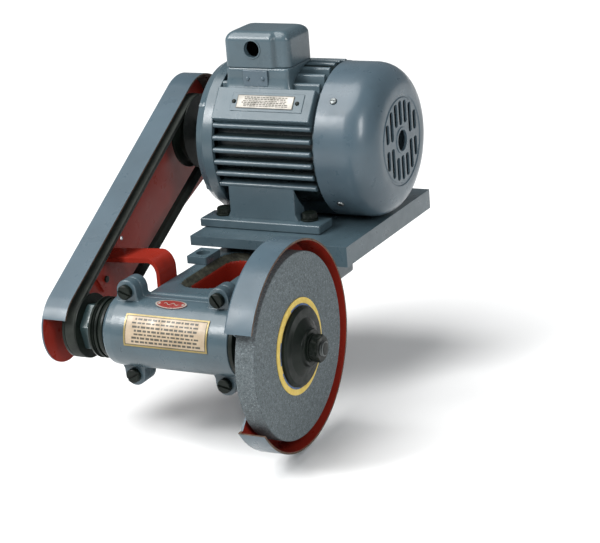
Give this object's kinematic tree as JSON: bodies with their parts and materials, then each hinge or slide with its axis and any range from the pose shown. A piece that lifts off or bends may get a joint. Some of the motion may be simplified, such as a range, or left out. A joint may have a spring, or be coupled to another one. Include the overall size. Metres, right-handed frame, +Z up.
{
  "type": "belt-driven grinding head",
  "caption": "Grinding head for a lathe slide: a motor on a plate drives, by a V-belt under a sheet guard, a housed spindle with a guarded grinding wheel.",
  "frame": {"origin": "middle of the flat land between the two stud slots in the underside of the bracket's arm, the face that rests on the machine's slide", "axes": "+X along the spindle towards the grinding wheel, +Y from the spindle back to the motor, +Z up"},
  "size_m": [0.328, 0.4878, 0.3975],
  "materials": {
    "grey_paint": "blue-grey enamel with a soft gloss",
    "dark_paint": "darker green-blue enamel",
    "red_paint": "red enamel",
    "blacked_steel": "blacked and lightly oiled",
    "bright_steel": "machined",
    "bare_iron": "machined cast iron",
    "belt_rubber": "fabric-wrapped rubber",
    "abrasive": "coarse grey abrasive",
    "yellow_card": "compressible card ring",
    "printed_plate": "cream printed plate",
    "black_plastic": "moulded",
    "windings": "laminations with varnished windings"
  },
  "bodies": {
    "head": {"bracket_casting": "grey_paint", "bracket_arm": "grey_paint", "bracket_tail": "grey_paint", "clamp_cap": "grey_paint", "belt_guard": "grey_paint", "motor_plate": "grey_paint", "motor_foot_front": "grey_paint", "motor_foot_rear": "grey_paint", "motor_frame": "grey_paint", "drive_end_shield": "grey_paint", "fan_end_shield": "grey_paint", "fan_cowl": "grey_paint", "terminal_box": "grey_paint", "terminal_lid": "grey_paint", "terminal_cover_plate": "grey_paint", "cap_screw_1": "blacked_steel", "cap_screw_2": "blacked_steel", "cap_screw_3": "blacked_steel", "cap_screw_4": "blacked_steel", "rear_end_cover": "blacked_steel", "support_tab_screw": "blacked_steel", "support_leg_bolt": "blacked_steel", "foot_bolt_1": "blacked_steel", "foot_bolt_2": "blacked_steel", "foot_bolt_3": "blacked_steel", "foot_bolt_4": "blacked_steel", "rear_bearing_outer_ring": "bright_steel", "front_bearing_outer_ring": "bright_steel", "drive_end_bearing": "bright_steel", "fan_end_bearing": "bright_steel", "nameplate": "bright_steel", "cowl_screw_1": "bright_steel", "cowl_screw_2": "bright_steel", "cowl_screw_3": "bright_steel", "cowl_screw_4": "bright_steel", "front_end_cover": "bare_iron", "plate_column": "bare_iron", "label_plate": "printed_plate", "badge_plate": "red_paint", "guard_support_arm": "red_paint", "belt": "belt_rubber", "stator_core": "windings"},
    "spindle": {"spindle_shaft": "bright_steel", "rear_bearing_inner_ring": "bright_steel", "front_bearing_inner_ring": "bright_steel", "inner_flange": "blacked_steel", "grinding_wheel": "abrasive", "wheel_label_ring": "yellow_card", "outer_flange": "blacked_steel", "wheel_nut": "blacked_steel", "spindle_pulley": "blacked_steel", "pulley_lock_nut": "dark_paint", "dust_ring": "blacked_steel"},
    "rotor": {"rotor_shaft": "bright_steel", "rotor_core": "bare_iron", "cooling_fan": "black_plastic", "motor_pulley": "blacked_steel"},
    "wheel_guard_body": {"wheel_guard": "grey_paint", "guard_clamp_screw": "blacked_steel"}
  },
  "joints": [
    {"name": "motor_spin", "type": "hinge", "parent": "head", "child": "rotor", "pos_m": [0.0115, 0.165, 0.1825], "axis": [1, 0, 0], "continuous": true},
    {"name": "spindle_spin", "type": "hinge", "parent": "head", "child": "spindle", "pos_m": [0, -0.11, 0.032], "axis": [1, 0, 0], "continuous": true},
    {"name": "wheel_guard_swivel", "type": "hinge", "parent": "head", "child": "wheel_guard_body", "pos_m": [0.1115, -0.11, 0.032], "axis": [1, 0, 0], "range_deg": [-60, 75]}
  ],
  "couplings": [
    {"joint": "spindle_spin", "follows": "motor_spin", "ratio": 1.2353}
  ]
}
